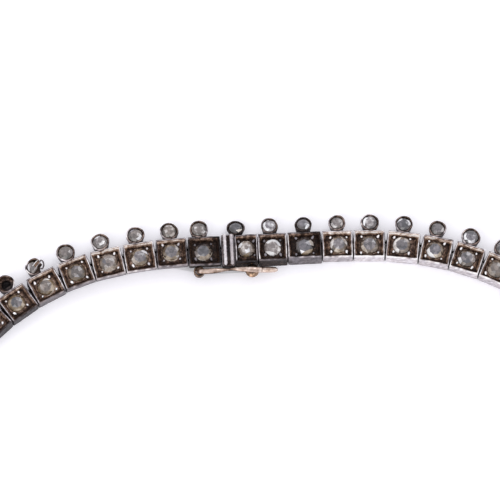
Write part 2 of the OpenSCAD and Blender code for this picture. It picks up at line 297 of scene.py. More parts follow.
silverLook = {
    "grey": [(0, (0.006, 0.005, 0.006)), (0.25, (0.06, 0.055, 0.06)), (0.55, (0.3, 0.28, 0.31)),
             (0.8, (0.66, 0.63, 0.67)), (1, (0.95, 0.94, 0.96))],
    "brown": [(0, (0.008, 0.003, 0.002)), (0.25, (0.055, 0.028, 0.017)), (0.55, (0.29, 0.18, 0.125)),
              (0.8, (0.62, 0.47, 0.37)), (1, (0.93, 0.87, 0.82))],
    # how far the tone varies, and the scale of the pattern
    "blotch": (0.42, 1700),         # tarnish
    "hollowBlotch": 0.8,            # more of it in the hollows
    "scar": (0.7, 4200),            # fine cuts in the hollows
    "streak": (0.3, 1000),
    "brownPatch": (0.5, 700),
    "metallic": (0.5, 0.45, 0.45),  # of black silver, more where the tone is bright, from clean metal and painted light, less in the hollows
    "roughness": (0.56, 0.26),      # of black silver, and how much less where the tone is bright, from clean metal and painted light
    "specular": 0.2,
    "grainScale": 5200,
    "streakBump": 0.4,
    "bump": (0.00005, 0.7),         # height in metres, and strength
}


def silverFinish():
    m, look = Finish("oxidised_silver_finish"), silverLook
    hollow = m.attribute("brown")
    blotches = m.noise(look["blotch"][1], detail=5, roughness=0.65) - 0.5
    streaks = m.noise(look["streak"][1], stretch=(0.3, 0.3, 7), detail=3) - 0.5
    scars = m.noise(look["scar"][1]) - 0.5
    patches = m.noise(look["brownPatch"][1]) - 0.5
    # tone from black to bright: how clean the silver shows, with painted highlights and painted shade laid
    # into it
    clean = (m.attribute("clean") + blotches * (hollow * look["hollowBlotch"] + look["blotch"][0])
             + scars * hollow * look["scar"][0] + streaks * look["streak"][0]).limit(0, 1)
    brown = (hollow + patches * look["brownPatch"][0]).limit(0, 1)
    colour = m.mix(brown, m.ramp(clean, look["grey"]), m.ramp(clean, look["brown"]))
    grains = m.noise(look["grainScale"], detail=3, roughness=0.7)
    black, more, less = look["metallic"]
    rough, smoother = look["roughness"]
    return m.close(baseColor=colour, metallic=(clean * more + black) * (1 - hollow * less),
                   roughness=rough - clean * smoother, specular=look["specular"],
                   normal=m.bump(grains + streaks * look["streakBump"], *look["bump"]))


diamondLook = {
    "grey": [(0, (0.004, 0.004, 0.006)), (0.35, (0.03, 0.03, 0.038)), (0.5, (0.075, 0.07, 0.084)),
             (0.7, (0.195, 0.175, 0.198)), (1, (0.95, 0.95, 0.97))],
    "warm": [(0, (0.01, 0.005, 0.002)), (0.35, (0.06, 0.036, 0.016)), (0.6, (0.21, 0.145, 0.08)),
             (0.8, (0.52, 0.42, 0.31)), (1, (1, 0.95, 0.88))],
    # how far the tone varies, and the scale of the pattern
    "flash": (0.16, 1300),
    "cloud": (0.42, 1600),
    "roughness": 0.12,
    "ior": 1.9,
}


def diamondFinish():
    m, look = Finish("rose_cut_diamond"), diamondLook
    # the facets' tone holds painted reflections, glints and shade; the cells add painted sparkle
    cells = m.node("ShaderNodeTexVoronoi", {}, {"Vector": m.place(), "Scale": look["flash"][1]}, "Color")
    flash = m.node("ShaderNodeSeparateColor", {}, {"Color": cells}) - 0.5
    cloud = m.noise(look["cloud"][1], detail=3) - 0.5
    tone = (m.attribute("tone") + flash * look["flash"][0] + cloud * look["cloud"][0]).limit(0, 1)
    colour = m.mix(m.attribute("warm"), m.ramp(tone, look["grey"]), m.ramp(tone, look["warm"]))
    return m.close(baseColor=colour, roughness=look["roughness"], ior=look["ior"])


goldLook = {
    "catch": [(0, (0.05, 0.03, 0.022)), (0.3, (0.32, 0.22, 0.17)), (0.6, (0.6, 0.465, 0.395)),
              (1, (1, 0.91, 0.85))],
    "bronze": [(0, (0.02, 0.012, 0.008)), (0.35, (0.09, 0.055, 0.035)), (0.6, (0.3, 0.2, 0.14)),
               (0.8, (0.7, 0.46, 0.3)), (1, (1, 0.86, 0.74))],
    "blotch": (1.3, 1500),          # how far the tone varies, and the scale of the pattern
    "roughness": {"catch": 0.34, "bronze": 0.36},
    "hammerScale": 1900,
    "bump": (0.00008, 0.7),
}


def goldFinish(name, kind):
    m, look = Finish(name), goldLook
    share, scale = look["blotch"]
    blotches = m.noise(scale, detail=4, roughness=0.65) - 0.5
    # tone from dark to bright: how clean the gold shows, with painted shade laid into it
    clean = (m.attribute("clean") + blotches * share).limit(0, 1)
    hammered = m.noise(look["hammerScale"])
    return m.close(baseColor=m.ramp(clean, look[kind]), metallic=1.0, roughness=look["roughness"][kind],
                   normal=m.bump(hammered, *look["bump"]))


silver = silverFinish()
diamond = diamondFinish()
roseGold = goldFinish("rose_gold_wire", "catch")
bronze = goldFinish("dark_gold", "bronze")
print("made the finishes")


# Mesh helpers

upward = Vector((0, 0, 1))


def layersOf(bm):
    made = {}
    for name in ("turn", "clean", "brown"):
        made[name] = bm.verts.layers.float.get(name) or bm.verts.layers.float.new(name)
    return made


def newMesh():
    bm = bmesh.new()
    layersOf(bm)
    return bm


def dress(bm, verts, clean, brown):
    layers = layersOf(bm)
    for v in verts:
        v[layers["clean"]] = clean
        v[layers["brown"]] = brown


def squarePoint(angle, halfX, halfY, corner):
    # the point of a rounded rectangle at this angle; its corners lie at odd eighths of a turn
    quarter = math.pi / 2
    side = round(angle / quarter)
    along = 2 * (angle / quarter - side)
    c, s = math.cos(side * quarter), math.sin(side * quarter)
    x, y = (c - along * s) * halfX, (s + along * c) * halfY
    overX, overY = abs(x) - (halfX - corner), abs(y) - (halfY - corner)
    if overX > 0 and overY > 0:
        reach = corner / math.hypot(overX, overY)
        x = math.copysign(halfX - corner + overX * reach, x)
        y = math.copysign(halfY - corner + overY * reach, y)
    return x, y


def startRing(bm, segments):
    # a capped circle, whose corners remember their place round the ring
    made = bmesh.ops.create_circle(bm, cap_ends=True, cap_tris=True, segments=segments, radius=1)["verts"]
    turn = layersOf(bm)["turn"]
    rim = [v for v in made if v.co.length > 0.5]
    for v in rim:
        v[turn] = math.atan2(v.co.y, v.co.x)
    centre = [v for v in made if v.co.length <= 0.5][0]
    edges = [e for e in bm.edges if e.is_boundary and e.verts[0] in rim]
    return centre, rim, edges


def nextRing(bm, edges):
    geom = bmesh.ops.extrude_edge_only(bm, edges=edges)["geom"]
    verts = [g for g in geom if isinstance(g, bmesh.types.BMVert)]
    fresh = set(verts)
    return verts, [g for g in geom if isinstance(g, bmesh.types.BMEdge) and fresh.issuperset(g.verts)]


def joinRings(bm, segments, count, place, start=None, end=None):
    # rings one after another, where place(turn, number) gives a corner's point, its tone (how clean the
    # metal shows, with painted light and shade) and brown; closed at the start, which has these three too,
    # and at the end point, or else with the last ring joined to the first
    layers = layersOf(bm)
    centre, verts, edges = startRing(bm, segments)
    first = edges
    for number in range(count):
        if number:
            verts, edges = nextRing(bm, edges)
        for v in verts:
            v.co, v[layers["clean"]], v[layers["brown"]] = place(v[layers["turn"]], number)
    if start:
        centre.co, centre[layers["clean"]], centre[layers["brown"]] = start
        bmesh.ops.pointmerge(bm, verts=verts, merge_co=end)
    else:
        bmesh.ops.delete(bm, geom=[centre], context="VERTS")
        bmesh.ops.bridge_loops(bm, edges=first + edges)


def stack(bm, rings, segments, settle, end):
    # rings one on another; settle(turn, ring, share) gives the point, tone (how clean the metal shows, with
    # painted light and shade) and brown of the corner at this turn and share of the radius
    point, clean, _ = settle(0, rings[0], 0)
    joinRings(bm, segments, len(rings), lambda turn, n: settle(turn, rings[n], 1), (point, clean, 0), end)


def spinShape(bm, profile, segments, clean, brown, tube=False):
    # (radius, height) pairs turned round Z, from axis to axis, or in a closed loop for a tube
    def place(turn, number):
        radius, height = profile[number]
        return (radius * math.cos(turn), radius * math.sin(turn), height), clean, brown

    ends = [] if tube else [((0, 0, profile[0][1]), clean, brown), (0, 0, profile[-1][1])]
    joinRings(bm, segments, len(profile), place, *ends)


def sweep(bm, path, up, radii, segments, clean, brown):
    # a ring moved along a path, with the ends closed; radii gives its size across and along up at each
    # share of the path
    last = len(path) - 1

    def place(turn, number):
        ahead = path[min(number + 1, last)] - path[max(number - 1, 0)]
        across = ahead.normalized().cross(up)
        wide, high = radii(number / last)
        point = path[number] + across * math.cos(turn) * wide + up * math.sin(turn) * high
        return point, clean, brown

    joinRings(bm, segments, last + 1, place, (path[0], clean, brown), path[-1])


def smoothPath(points, steps):
    # a Catmull-Rom curve through the points
    path, last = [], len(points) - 1
    for k in range(last):
        a, b, c, d = (Vector(points[min(max(k + j, 0), last)]) for j in (-1, 0, 1, 2))
        for s in range(steps):
            t = s / steps
            path.append(0.5 * (2 * b + (c - a) * t + (2 * a - 5 * b + 4 * c - d) * t * t
                               + (3 * b - a - 3 * c + d) * t ** 3))
    return path + [Vector(points[-1])]


def append(bm, part, matrix):
    # adds one bmesh to another, moved by matrix
    bmesh.ops.transform(part, matrix=matrix, verts=part.verts)
    mesh = bpy.data.meshes.new("part")
    part.to_mesh(mesh)
    part.free()
    bm.from_mesh(mesh)
    bpy.data.meshes.remove(mesh)


def finishPiece(bm, name, body, nodes, materials, sharp=35):
    bmesh.ops.remove_doubles(bm, verts=bm.verts, dist=0.0005)
    bmesh.ops.recalc_face_normals(bm, faces=bm.faces)
    bmesh.ops.scale(bm, vec=(millimetre,) * 3, verts=bm.verts)
    mesh = bpy.data.meshes.new(name)
    for f in bm.faces:
        f.smooth = sharp > 0
    bm.to_mesh(mesh)
    bm.free()
    if sharp > 0:
        mesh.set_sharp_from_angle(angle=math.radians(sharp))
    for material in materials:
        mesh.materials.append(material)
    obj = addObject(name, mesh)
    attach(obj, body)
    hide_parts(*nodes)
    print("made", name, "with", len(mesh.polygons), "faces")


# Boxes: hand-cut pocket, rim, plain walls, open back

box = {
    "segments": 48,
    "height": 3.0,
    "wall": 0.32,
    "rim": 0.16,
    "pocketDepth": 0.65,
    "pocketLean": 0.42,
    "plate": 1.75,          # height of the underside of the stone plate
    "seat": 2.08,
    "legY": 0.9,            # legs of the wire loops
    "legZ": 0.85,
    "legHole": 0.45,        # half the length of their holes
    "holeLow": 0.4,
    "holeHigh": 1.3,
    "farRim": 0.12,         # how far the far rim bulges out
    "endBulge": 0.07,       # and the end walls, towards the next box
    "outerMottle": 0.3,     # how far the tone varies on the outside
    "innerMottle": 0.7,     # and within
    "stoneHeight": 1,
    "play": 0.1,            # between a stone and its seat, in the cups too
}

# How clean the silver shows, from black to bright, with painted light: inner side wall, painted lighter or
# darker from box to box as the light falls on it, pocket, rim, and far wall of the pocket, painted as lit.
# Then how far the inner side wall leans in towards the foot. Units next to the clasp follow the photo.
silverTones = {
    64: (0.18, 0.42, 0.65, 0.7, 0.05), 65: (0.18, 0.42, 0.65, 0.7, 0.05), 66: (0.36, 0.45, 0.8, 0.75, 0.1),
    67: (0.38, 0.42, 0.85, 0.9, 0.3), 68: (0.45, 0.42, 0.85, 0.88, 0.3), 69: (0.52, 0.38, 0.85, 0.75, 0.42),
    70: (0.45, 0.32, 0.36, 0.66, 0.42), 71: (0.34, 0.14, 0.22, 0.42, 0.2), 0: (0.03, 0.1, 0.7, 0.42, -0.12),
    1: (0.06, 0.12, 0.95, 0.44, -0.15), 2: (0.36, 0.08, 0.95, 0.35, -0.1), 3: (0.64, 0.34, 0.95, 0.8, 0.12),
    4: (0.8, 0.37, 0.9, 0.9, 0.12), 5: (0.8, 0.38, 0.9, 0.9, 0.12), 6: (0.72, 0.38, 0.9, 0.8, 0.12),
    7: (0.74, 0.4, 0.9, 0.8, 0.12), 8: (0.7, 0.4, 0.9, 0.78, 0.1),
}
nearEdges = {70: 0.5, 71: 0.4, 0: 0.08, 1: 0.32, 2: 0.55}    # near rims unlike the wall below
# how far a near rim stands out towards the viewer, where the box lies tilted; negative leans back
nearTilts = {65: 0.25, 66: 0.22, 67: 0.28, 68: 0.3, 69: 0.36, 70: 0.2, 71: 0.34, 0: 0.1, 2: -0.2}
shadedFeet = (71, 0, 1)       # boxes whose inner side wall is black below: painted shadow of the safety catch
darkEnds = (71, 2)          # boxes whose right end is nearly black


def tonesOf(i):
    plain = (0.7 + 0.05 * vary(i, 7), 0.39 + 0.05 * vary(i, 8), 0.88 + 0.08 * vary(i, 9),
             0.76 + 0.1 * vary(i, 13), 0.12 + 0.04 * vary(i, 15))
    return silverTones.get(i, plain)


noise.seed_set(1)           # or else the shifts below would be others in each run


def handMade(point, amount, seed, size=0.9):
    # uneven hand work: a smooth shift of each point
    return noise.noise_vector(point * size + Vector((seed * 7.3, seed * 3.1, seed * 1.7))) * amount


def boxShell(unit, back):
    bm = bmesh.new()
    halfX, halfY, top = unit["width"] / 2, halfDepth, box["height"]
    r, offX, offY = unit["stone"]
    wall, rim, seed = box["wall"], box["rim"], unit["index"]
    side, pocket, bright, farWall, lean = tonesOf(seed)
    floor = top - box["pocketDepth"]
    lowX = min(max(halfX - rim - box["pocketLean"], r + abs(offX) + 0.12), halfX - rim - 0.01)
    lowY = max(halfY - rim - box["pocketLean"], r + 0.1)
    middleX, middleY = (lowX + halfX - rim) / 2, (lowY + halfY - rim) / 2
    innerX, innerY = halfX - wall, halfY - wall
    # the inner side wall and the near rim take their box's painted light; the far rim strip is painted lit
    # like the far wall
    same, strip = (side, 0.15), (farWall * 1.15, 0.1)
    edge = (nearEdges.get(seed, side * 1.1 + 0.06), 0.2)
    # painted shadow on the lower inner side wall next to the safety catch
    foot = (0.05, 1) if seed in shadedFeet else same
    tilt = nearTilts.get(seed, 0)
    seatEdge, seatRim = r + 0.03, r + 0.11
    # half length, half depth, corner, height, unevenness, then (tone, brown) all round, or else towards the
    # far side, the ends and the near side. Besides how clean the silver shows, the tones hold painted shade
    # along the near inside of the pocket and in the far corner of its floor, a painted lit band on the far
    # wall and far rim, and near-black end walls, painted shade in the gaps between boxes
    rings = [
        (r, r, r, box["seat"], 0, (0.02, 1)),
        (seatEdge, seatEdge, seatEdge, floor + 0.05, 0.02,
         (pocket, 0.8), (pocket * 1.2, 0.8), (pocket * 1.4, 0.8)),
        (seatRim, seatRim, seatRim, floor + 0.05, 0.04,
         (pocket * 0.6, 0.9), (pocket * 0.9, 0.9), (pocket, 0.9)),
        (lowX, lowY, 0.3, floor - 0.02, 0.1, (0.02, 1), (pocket * 0.3, 1), (pocket * 0.15, 1)),
        (middleX, middleY, 0.22, floor + 0.28, 0.14, (farWall * 0.75, 1), (pocket, 1), (pocket * 0.3, 1)),
        (halfX - rim, halfY - rim - 0.16, 0.12, top - 0.1, 0.1,
         (farWall * 1.15, 0.85), (bright * 0.7, 0.7), (pocket * 0.5, 0.9)),
        (halfX - rim + 0.02, halfY - rim - 0.03, 0.1, top - 0.01, 0.07,
         (farWall * 0.35, 0.9), (bright, 0.3), edge),
        (halfX - 0.09, halfY - 0.12, 0.08, top, 0.05, strip, (bright, 0.1), edge),
        (halfX, halfY + 0.02, 0.08, top - 0.05, 0.04, strip, (bright * 0.6, 0.3), edge),
        (halfX, halfY, 0.07, top - 0.22, 0.02, (0.5, 0.3), (0.03, 0.5), same),
        (halfX, halfY, 0.07, 2.1, 0.015, (0.42, 0.4), (0.02, 0.5), foot),
        (halfX, halfY, 0.07, box["holeHigh"], 0.015, (0.42, 0.3), (0.02, 0.5), foot),
        (halfX, halfY, 0.07, box["holeLow"], 0.015, (0.45, 0.3), (0.02, 0.5), foot),
        (halfX, halfY, 0.08, 0.06, 0.02, (0.5, 0.3), (0.1, 0.5), (side * 0.8, 0.2)),
        (halfX - 0.04, halfY - 0.04, 0.08, 0, 0, (0.5, 0.3), (0.4, 0.3), (0.5, 0.2)),
    ]
    if back == "open":
        rings += [
            (innerX + 0.03, innerY + 0.03, 0.1, 0, 0.02, (0.5, 0.3)),
            (innerX, innerY, 0.1, 0.06, 0.02, (0.25, 0.6)),
            (innerX, innerY, 0.1, box["holeLow"], 0.02, (0.2, 0.7)),
            (innerX, innerY, 0.1, box["holeHigh"], 0.02, (0.15, 0.7)),
            (innerX, innerY, 0.1, box["plate"], 0.02, (0.1, 0.8)),
            (0.9, 0.9, 0.9, box["plate"], 0.03, (0.25, 0.7)),
        ]
    else:
        rings.append((halfX * 0.5, halfY * 0.5, 0.3, 0, 0, (0.5, 0.25)))

    def settle(turn, ring, share):
        ringX, ringY, corner, height, uneven, *tones = ring
        farTone, endTone, nearTone = tones if len(tones) > 1 else tones * 3
        x, y = squarePoint(turn, ringX, ringY, corner)
        if abs(x) / ringX > abs(y) / ringY + 0.02:
            clean, brown = endTone
        else:
            clean, brown = farTone if y > 0 else nearTone
        point = Vector((x * share, y * share, height))
        outside, roundSeat = ringX == halfX, ringX == corner
        mottle = box["outerMottle"] if outside else box["innerMottle"]
        clean *= 1 + mottle * noise.noise(point * 1.7 + Vector((seed * 5.1, 0, 0)))
        if roundSeat:
            point += Vector((offX, offY, 0))
        elif outside and 0.1 < height < top - 0.1 and abs(x) > halfX - 0.01:
            point.x += math.copysign(box["endBulge"], x)
        if seed in darkEnds and x > 0.6 * halfX and y > 0.15 - halfY:
            clean *= 0.25
        point += handMade(point, uneven, seed)
        if y < 0:
            out = 0 if roundSeat else tilt * (point.z / top) ** 2
            point.y += (lean * (1 - point.z / top) - out) * abs(point.y) / halfY
        elif point.z > top - 0.2:
            point.y += box["farRim"] * point.y / halfY
        return point, clean, brown

    stack(bm, rings, box["segments"], settle, (0, 0, rings[-1][3]))
    if back == "open":
        cutLegHoles(bm, wall - halfX)
    return bm


def cutLegHoles(bm, endX):
    # square holes in the left end wall, which the last box's wire loop passes through
    found = {-1: [], 1: []}
    for f in bm.faces:
        c = f.calc_center_median()
        beside = abs(abs(c.y) - box["legY"]) < box["legHole"]
        if beside and box["holeLow"] < c.z < box["holeHigh"] and c.x < endX + 0.1:
            found[math.copysign(1, c.y)].append(f)
    for faces in found.values():
        edges = [e for f in faces for e in f.edges]
        border = [e for e in edges if edges.count(e) == 1]
        bmesh.ops.delete(bm, geom=faces, context="FACES_KEEP_BOUNDARY")
        bmesh.ops.bridge_loops(bm, edges=border)


grain = {
    "radius": 0.25,
    "gap": 0.05,
    "along": 0.73,          # share of the way out that runs along the row
    "shift": 0.07,          # how far it may stray
    "rise": 0.16,           # above the pocket's floor
    "tail": 0.15,
    "bright": {69: 0.8, 70: 0.66, 71: 0.36, 0: 0.38, 1: 0.42, 2: 0.46},     # dim ones next to the clasp
}


def addGrains(bm, unit, bright):
    # beads of metal raised at the corners to hold the stone, each drawn out a little by the graver
    (r, offX, offY), halfX = unit["stone"], unit["width"] / 2
    reach = r + grain["radius"] + grain["gap"]
    x = min(reach * grain["along"], halfX - box["rim"] - grain["radius"] - 0.04)
    y = math.sqrt(reach * reach - x * x)
    z = box["height"] - box["pocketDepth"] + grain["rise"]
    layers = layersOf(bm)
    for sideX in (-1, 1):
        for sideY in (-1, 1):
            k = unit["index"] * 4 + sideX + 2 * sideY
            shift = Vector((grain["shift"] * vary(k, 10) + offX, grain["shift"] * vary(k, 11) + offY, 0))
            centre = Vector((sideX * x, sideY * y, z)) + shift
            angle = 90 + 35 * vary(k, 21) if sideX * sideY > 0 else 100 + 40 * vary(k, 22)
            out = Vector((cosD(angle), sinD(angle) * sideY, 0))
            made = bmesh.ops.create_uvsphere(bm, u_segments=8, v_segments=6, radius=grain["radius"])
            size = 0.9 + 0.14 * vary(k, 12)
            glint = bright * (1.1 + 0.15 * vary(k, 23))
            for v in made["verts"]:
                stretch = max(0, v.co.dot(out)) / grain["radius"]
                v.co += out * stretch * grain["tail"] * (1 + 0.6 * vary(k, 24))
                v.co = centre + v.co * size
                height = (v.co.z - centre.z) / grain["radius"]
                # painted highlight on the upper half of each bead, painted shade, dark and brown, on the
                # lower half
                v[layers["clean"]] = glint if height > 0 else 0.1
                v[layers["brown"]] = 0.05 if height > 0 else 1


# Small cups on the outer side

cup = {
    "segments": 24,
    "out": 3.72,            # middle, from the row's line
    "dropOut": 0.27,        # how much farther out a lowered cup is, for each millimetre
    "dropShort": 0.75,      # and how much shorter
    "top": 2.9,
    "height": 2.2,
    "rim": 0.3,
    "seat": 0.42,
    "stoneHeight": 0.62,
    "mottle": 1.1,
    "tearWidth": 0.4,       # share of the torn cup's width that is lost
    "tornDepth": 0.9,       # its stone is smaller too
    "tornShift": -0.25,
}
neck = {
    "width": 1.2,
    "height": 1.3,
    "lift": 0.35,           # above the cup's foot
    "inCup": 0.5,           # how far it reaches into the cup
    "inBox": 0.16,          # and into the box
    "edge": 0.12,
}

# How clean the cups show, how bright the painted highlight on one side of the rim is, and the direction of
# that side as seen in the photo, with 0 to the right and 90 to the outer side
cupTones = {
    65: (0.25, 0.85, -25), 66: (0.3, 0.9, 190), 67: (0.26, 0.8, 225), 68: (0.3, 0.85, 215),
    69: (0.3, 0.8, 160), 70: (0.22, 0.6, 200), 71: (0.26, 0.4, 0), 0: (0.14, 0.3, 40),
    1: (0.2, 0.4, 160), 2: (0.14, 0.35, 90), 3: (0.26, 0.6, 180), 4: (0.24, 0.8, 140),
    5: (0.24, 0.6, 200), 6: (0.26, 0.6, -30), 7: (0.3, 0.65, 200), 8: (0.3, 0.6, 120),
}


def cupOut(unit):
    return cup["out"] + cup["dropOut"] * unit["drop"]


def cupHeight(unit):
    return cup["height"] - cup["dropShort"] * unit["drop"]


def cupMatrix(unit):
    place = Matrix.Translation((unit["shift"], cupOut(unit), cup["top"] - unit["drop"]))
    return unitMatrix(unit) @ place @ Matrix.Rotation(math.radians(-unit["lean"]), 4, "X")


def cupShell(unit):
    bm = bmesh.new()
    i, r, height = unit["index"], unit["cupRadius"], cupHeight(unit)
    plain = (0.25 + 0.08 * vary(i, 14), 0.6 + 0.25 * vary(i, 25), 360 * vary(i, 26))
    body, bright, direction = cupTones.get(i, plain)
    inner = r - cup["rim"]
    # radius, height, tone (how clean the silver shows), brown, unevenness, share of the painted highlight
    if i == emptyCup:
        hollow = [(inner * 0.5, -1.5, 0.02, 0.3, 0, 0), (inner * 0.62, -1.4, 0.03, 0.2, 0.02, 0),
                  (inner * 0.68, -0.75, 0.05, 0.8, 0.03, 0), (inner * 0.98, -0.62, 0.28, 1, 0.04, 0)]
    else:
        hollow = [(inner * 0.8, -cup["seat"], 0.02, 0.8, 0, 0),
                  (inner + 0.06, -cup["seat"], 0.02, 0.9, 0, 0),
                  # dark just inside the rim: patina in the hollow and painted shade under the rim
                  (inner + 0.07, -0.26, body * 0.4, 1, 0.02, 0)]
    rings = hollow + [
        (inner + 0.04, -0.06, body * 1.1, 1, 0.05, 0),
        (inner + 0.1, 0.03, body * 1.5, 0.7, 0.05, 0.4),
        (r - 0.12, 0.03, body * 1.5, 0.6, 0.05, 1),
        (r - 0.01, -0.06, body, 0.5, 0.05, 1),
        (r, -0.3, body * 0.9, 0.2, 0.04, 0.6),
        (r * 0.96, -0.26 * height, body * 0.5, 0.3, 0.03, 0.1),
        (r * 0.88, -0.6 * height, body * 0.5, 0.3, 0.03, 0),
        (r * 0.82, -0.9 * height, body * 0.8, 0.3, 0.03, 0),
        (r * 0.74, -height, body, 0.3, 0.02, 0),
        (r * 0.4, -height, body * 0.5, 0.3, 0.02, 0),
    ]

    def settle(turn, ring, share):
        reach, level, clean, brown, uneven, lit = ring
        oval = (1 + 0.025 * math.cos(2 * turn + i * 1.9) + 0.02 * math.cos(3 * turn + i)
                + 0.015 * math.cos(4 * turn + i * 2.7))
        if i == tornCup:
            # flattened where its rim is torn off
            oval *= 1 - cup["tearWidth"] * max(0, math.cos(turn + math.radians(unit["heading"]))) ** 2
        point = Vector((math.cos(turn), math.sin(turn), 0)) * reach * oval * share
        point.z = level
        # painted highlight on the side of the rim towards the light, less brown there
        towards = max(0, math.cos(turn - math.radians(direction - unit["heading"]))) ** 2
        clean += (bright - clean) * lit * towards
        clean *= 1 + cup["mottle"] * noise.noise(point * 1.8 + Vector((0, i * 3.3, 0)))
        return point + handMade(point, uneven, i + 100, 1.3), clean, brown * (1 - 0.6 * towards)

    stack(bm, rings, cup["segments"], settle, (0, 0, -height))
    return bm


def addNeck(bm, unit):
    # the solder between cup and box
    made = bmesh.ops.create_cube(bm, size=1)["verts"]
    inner, outer = halfDepth - neck["inBox"], cupOut(unit) - neck["inCup"]
    tall = min(neck["height"], cupHeight(unit) - neck["inCup"])
    low = cup["top"] - unit["drop"] - cupHeight(unit) + neck["lift"]
    middle = max(unit["shift"], (neck["width"] - unit["width"]) / 2 + 0.02)
    bmesh.ops.scale(bm, vec=(neck["width"], outer - inner, tall), verts=made)
    bmesh.ops.translate(bm, vec=(middle, (inner + outer) / 2, low + tall / 2), verts=made)
    edges = [e for e in bm.edges if e.verts[0] in made]
    bmesh.ops.bevel(bm, geom=edges, offset=neck["edge"], segments=2, profile=0.5, affect="EDGES",
                    material=-1)
    dress(bm, [v for v in bm.verts if v.co.y > halfDepth + 0.1], 0.15, 0.5)


# Wire loops from box to box, and the whole rows

loopWire = {"radius": 0.21, "reach": 1.3, "segments": 8}


def addLoop(bm, unit):
    # U of wire that hangs in the holes of the next box
    halfX, y, z = unit["width"] / 2, box["legY"], box["legZ"]
    far = halfX + loopWire["reach"]
    corners = [(halfX - 0.16, -y, z), (halfX + 0.6, -y, z), (far - 0.12, -y + 0.02, z), (far, -y + 0.2, z),
               (far, y - 0.2, z), (far - 0.12, y - 0.02, z), (halfX + 0.6, y, z), (halfX - 0.16, y, z)]
    r = loopWire["radius"]
    # the wire is nearly black: painted shade in the gaps between the boxes, where it shows
    sweep(bm, smoothPath(corners, 2), upward, lambda t: (r, r), loopWire["segments"], 0.12, 0.5)


def addUnit(bm, unit, back):
    shell = boxShell(unit, back)
    addGrains(shell, unit, grain["bright"].get(unit["index"], 1))
    addLoop(shell, unit)
    addNeck(shell, unit)
    append(bm, shell, unitMatrix(unit))
    append(bm, cupShell(unit), cupMatrix(unit))


def addTear(bm, unit):
    # the torn cup: a strip of its rim is folded down across the stone, in the photo from lower left to
    # upper right, with a dark sheet behind it as painted shade of the hollow, and two thin wires along its
    # edges as painted highlights
    part = bmesh.new()
    turn = Matrix.Rotation(math.radians(-unit["heading"]), 4, "Z")

    def lay(points):
        return [turn @ p for p in smoothPath(points, 3)]

    strip = lay([(-0.5, -0.72, 0.06), (-0.05, -0.2, 0.22), (0.35, 0.3, 0.24), (0.85, 0.92, 0.08)])
    sweep(part, strip, upward, lambda t: (0.22, 0.07), 8, 0.42, 1)
    # painted shade: a dark sheet under the strip
    hollow = lay([(-0.1, -1.0, 0), (0.4, -0.45, 0.1), (0.75, 0, 0.1), (1.1, 0.5, 0)])
    sweep(part, hollow, upward, lambda t: (0.34, 0.05), 8, 0.08, 1)
    # painted highlights along the strip's edges
    for shift, clean in ((-0.23, 1.0), (0.24, 0.7)):
        edge = lay([(x + shift, y - shift * 0.8, z) for x, y, z in (
            (-0.4, -0.6, 0.14), (0, -0.15, 0.27), (0.4, 0.36, 0.28), (0.8, 0.85, 0.12))])
        sweep(part, edge, upward, lambda t: (0.06, 0.06), 6, clean, 0.3)
    curl = lay([(1.02, -0.42, 0), (1.25, -0.5, 0.03), (1.48, -0.1, 0.06), (1.5, 0.4, 0.06),
                (1.3, 0.88, 0.05), (1.02, 0.98, 0.04), (0.82, 0.66, 0.04), (0.86, 0.3, 0.04)])
    sweep(part, curl, upward, lambda t: (0.13, 0.16), 8, 0.36, 0.2)
    append(bm, part, cupMatrix(unit))


def makeRow(name, node, members):
    bm = newMesh()
    for unit in members:
        addUnit(bm, unit, "open")
        if unit["index"] == tornCup:
            addTear(bm, unit)
    finishPiece(bm, name, "necklace", [node], [silver])


makeRow("boxes_right", "links_right", units[1:necklace["halfWay"] + 1])
makeRow("boxes_left", "links_left", units[necklace["halfWay"] + 1:hingeUnit])


# Clasp: hinge tube, clasp box with its stud, ribbed end block with the tongue

clasp = {
    "level": 1.9,               # middle of the tube, the stud and the safety catch
    "hinge": (-7.85, -3.3),
    "tube": 0.88,
    "tubeHeight": 1.0,
    "tubeEdge": 0.06,
    "bore": 0.6,
    "lug": 0.7,
    "inBox": 0.16,              # how far the lug reaches into the box
    "roundSegments": 28,
    "stud": (0.77, -3.5),
    "studRadius": 1.12,
    "studHeight": 0.9,
    "post": 0.3,
    "blockHeight": 2.7,
    "blockOut": 2.05,
    "blockIn": 2.7,
    "capOut": 2.64,
    "capHeight": 0.29,
    "ribs": (-0.5, 0.62),
    "ribRadius": 0.33,
    "ribShort": 0.03,           # how far the ribs end before the cap's edges
    "ribSteps": 20,
    "ribWave": 0.025,
    "tongueWidth": 2.6,
    "tongueThick": 0.26,
    "tongueLow": 0.45,          # underside of the lower leaf
    "tongueDown": 0.2,          # the upper leaf's start, below the plate
    "tongueShort": 0.25,        # how far the fold stops before the far wall
}


def addHinge(bm):
    tube = bmesh.new()
    half, r, bore, edge = clasp["tubeHeight"] / 2, clasp["tube"], clasp["bore"], clasp["tubeEdge"]
    profile = [(bore, -half), (r - edge, -half), (r, -half + edge), (r, half - edge), (r - edge, half),
               (bore + 0.12, half + 0.02), (bore, half - edge)]
    spinShape(tube, profile, clasp["roundSegments"], 0.42, 1, tube=True)
    made = bmesh.ops.create_cube(tube, size=1)["verts"]
    near, far = bore + 0.08, -clasp["hinge"][1] - halfDepth + clasp["inBox"]
    bmesh.ops.scale(tube, vec=(clasp["lug"], far - near, clasp["tubeHeight"] - 0.04), verts=made)
    bmesh.ops.translate(tube, vec=(0, (near + far) / 2, 0), verts=made)
    # the lug is nearly black: painted shade under the box wall
    dress(tube, made, 0.02, 1)
    append(bm, tube, Matrix.Translation((*clasp["hinge"], clasp["level"])))


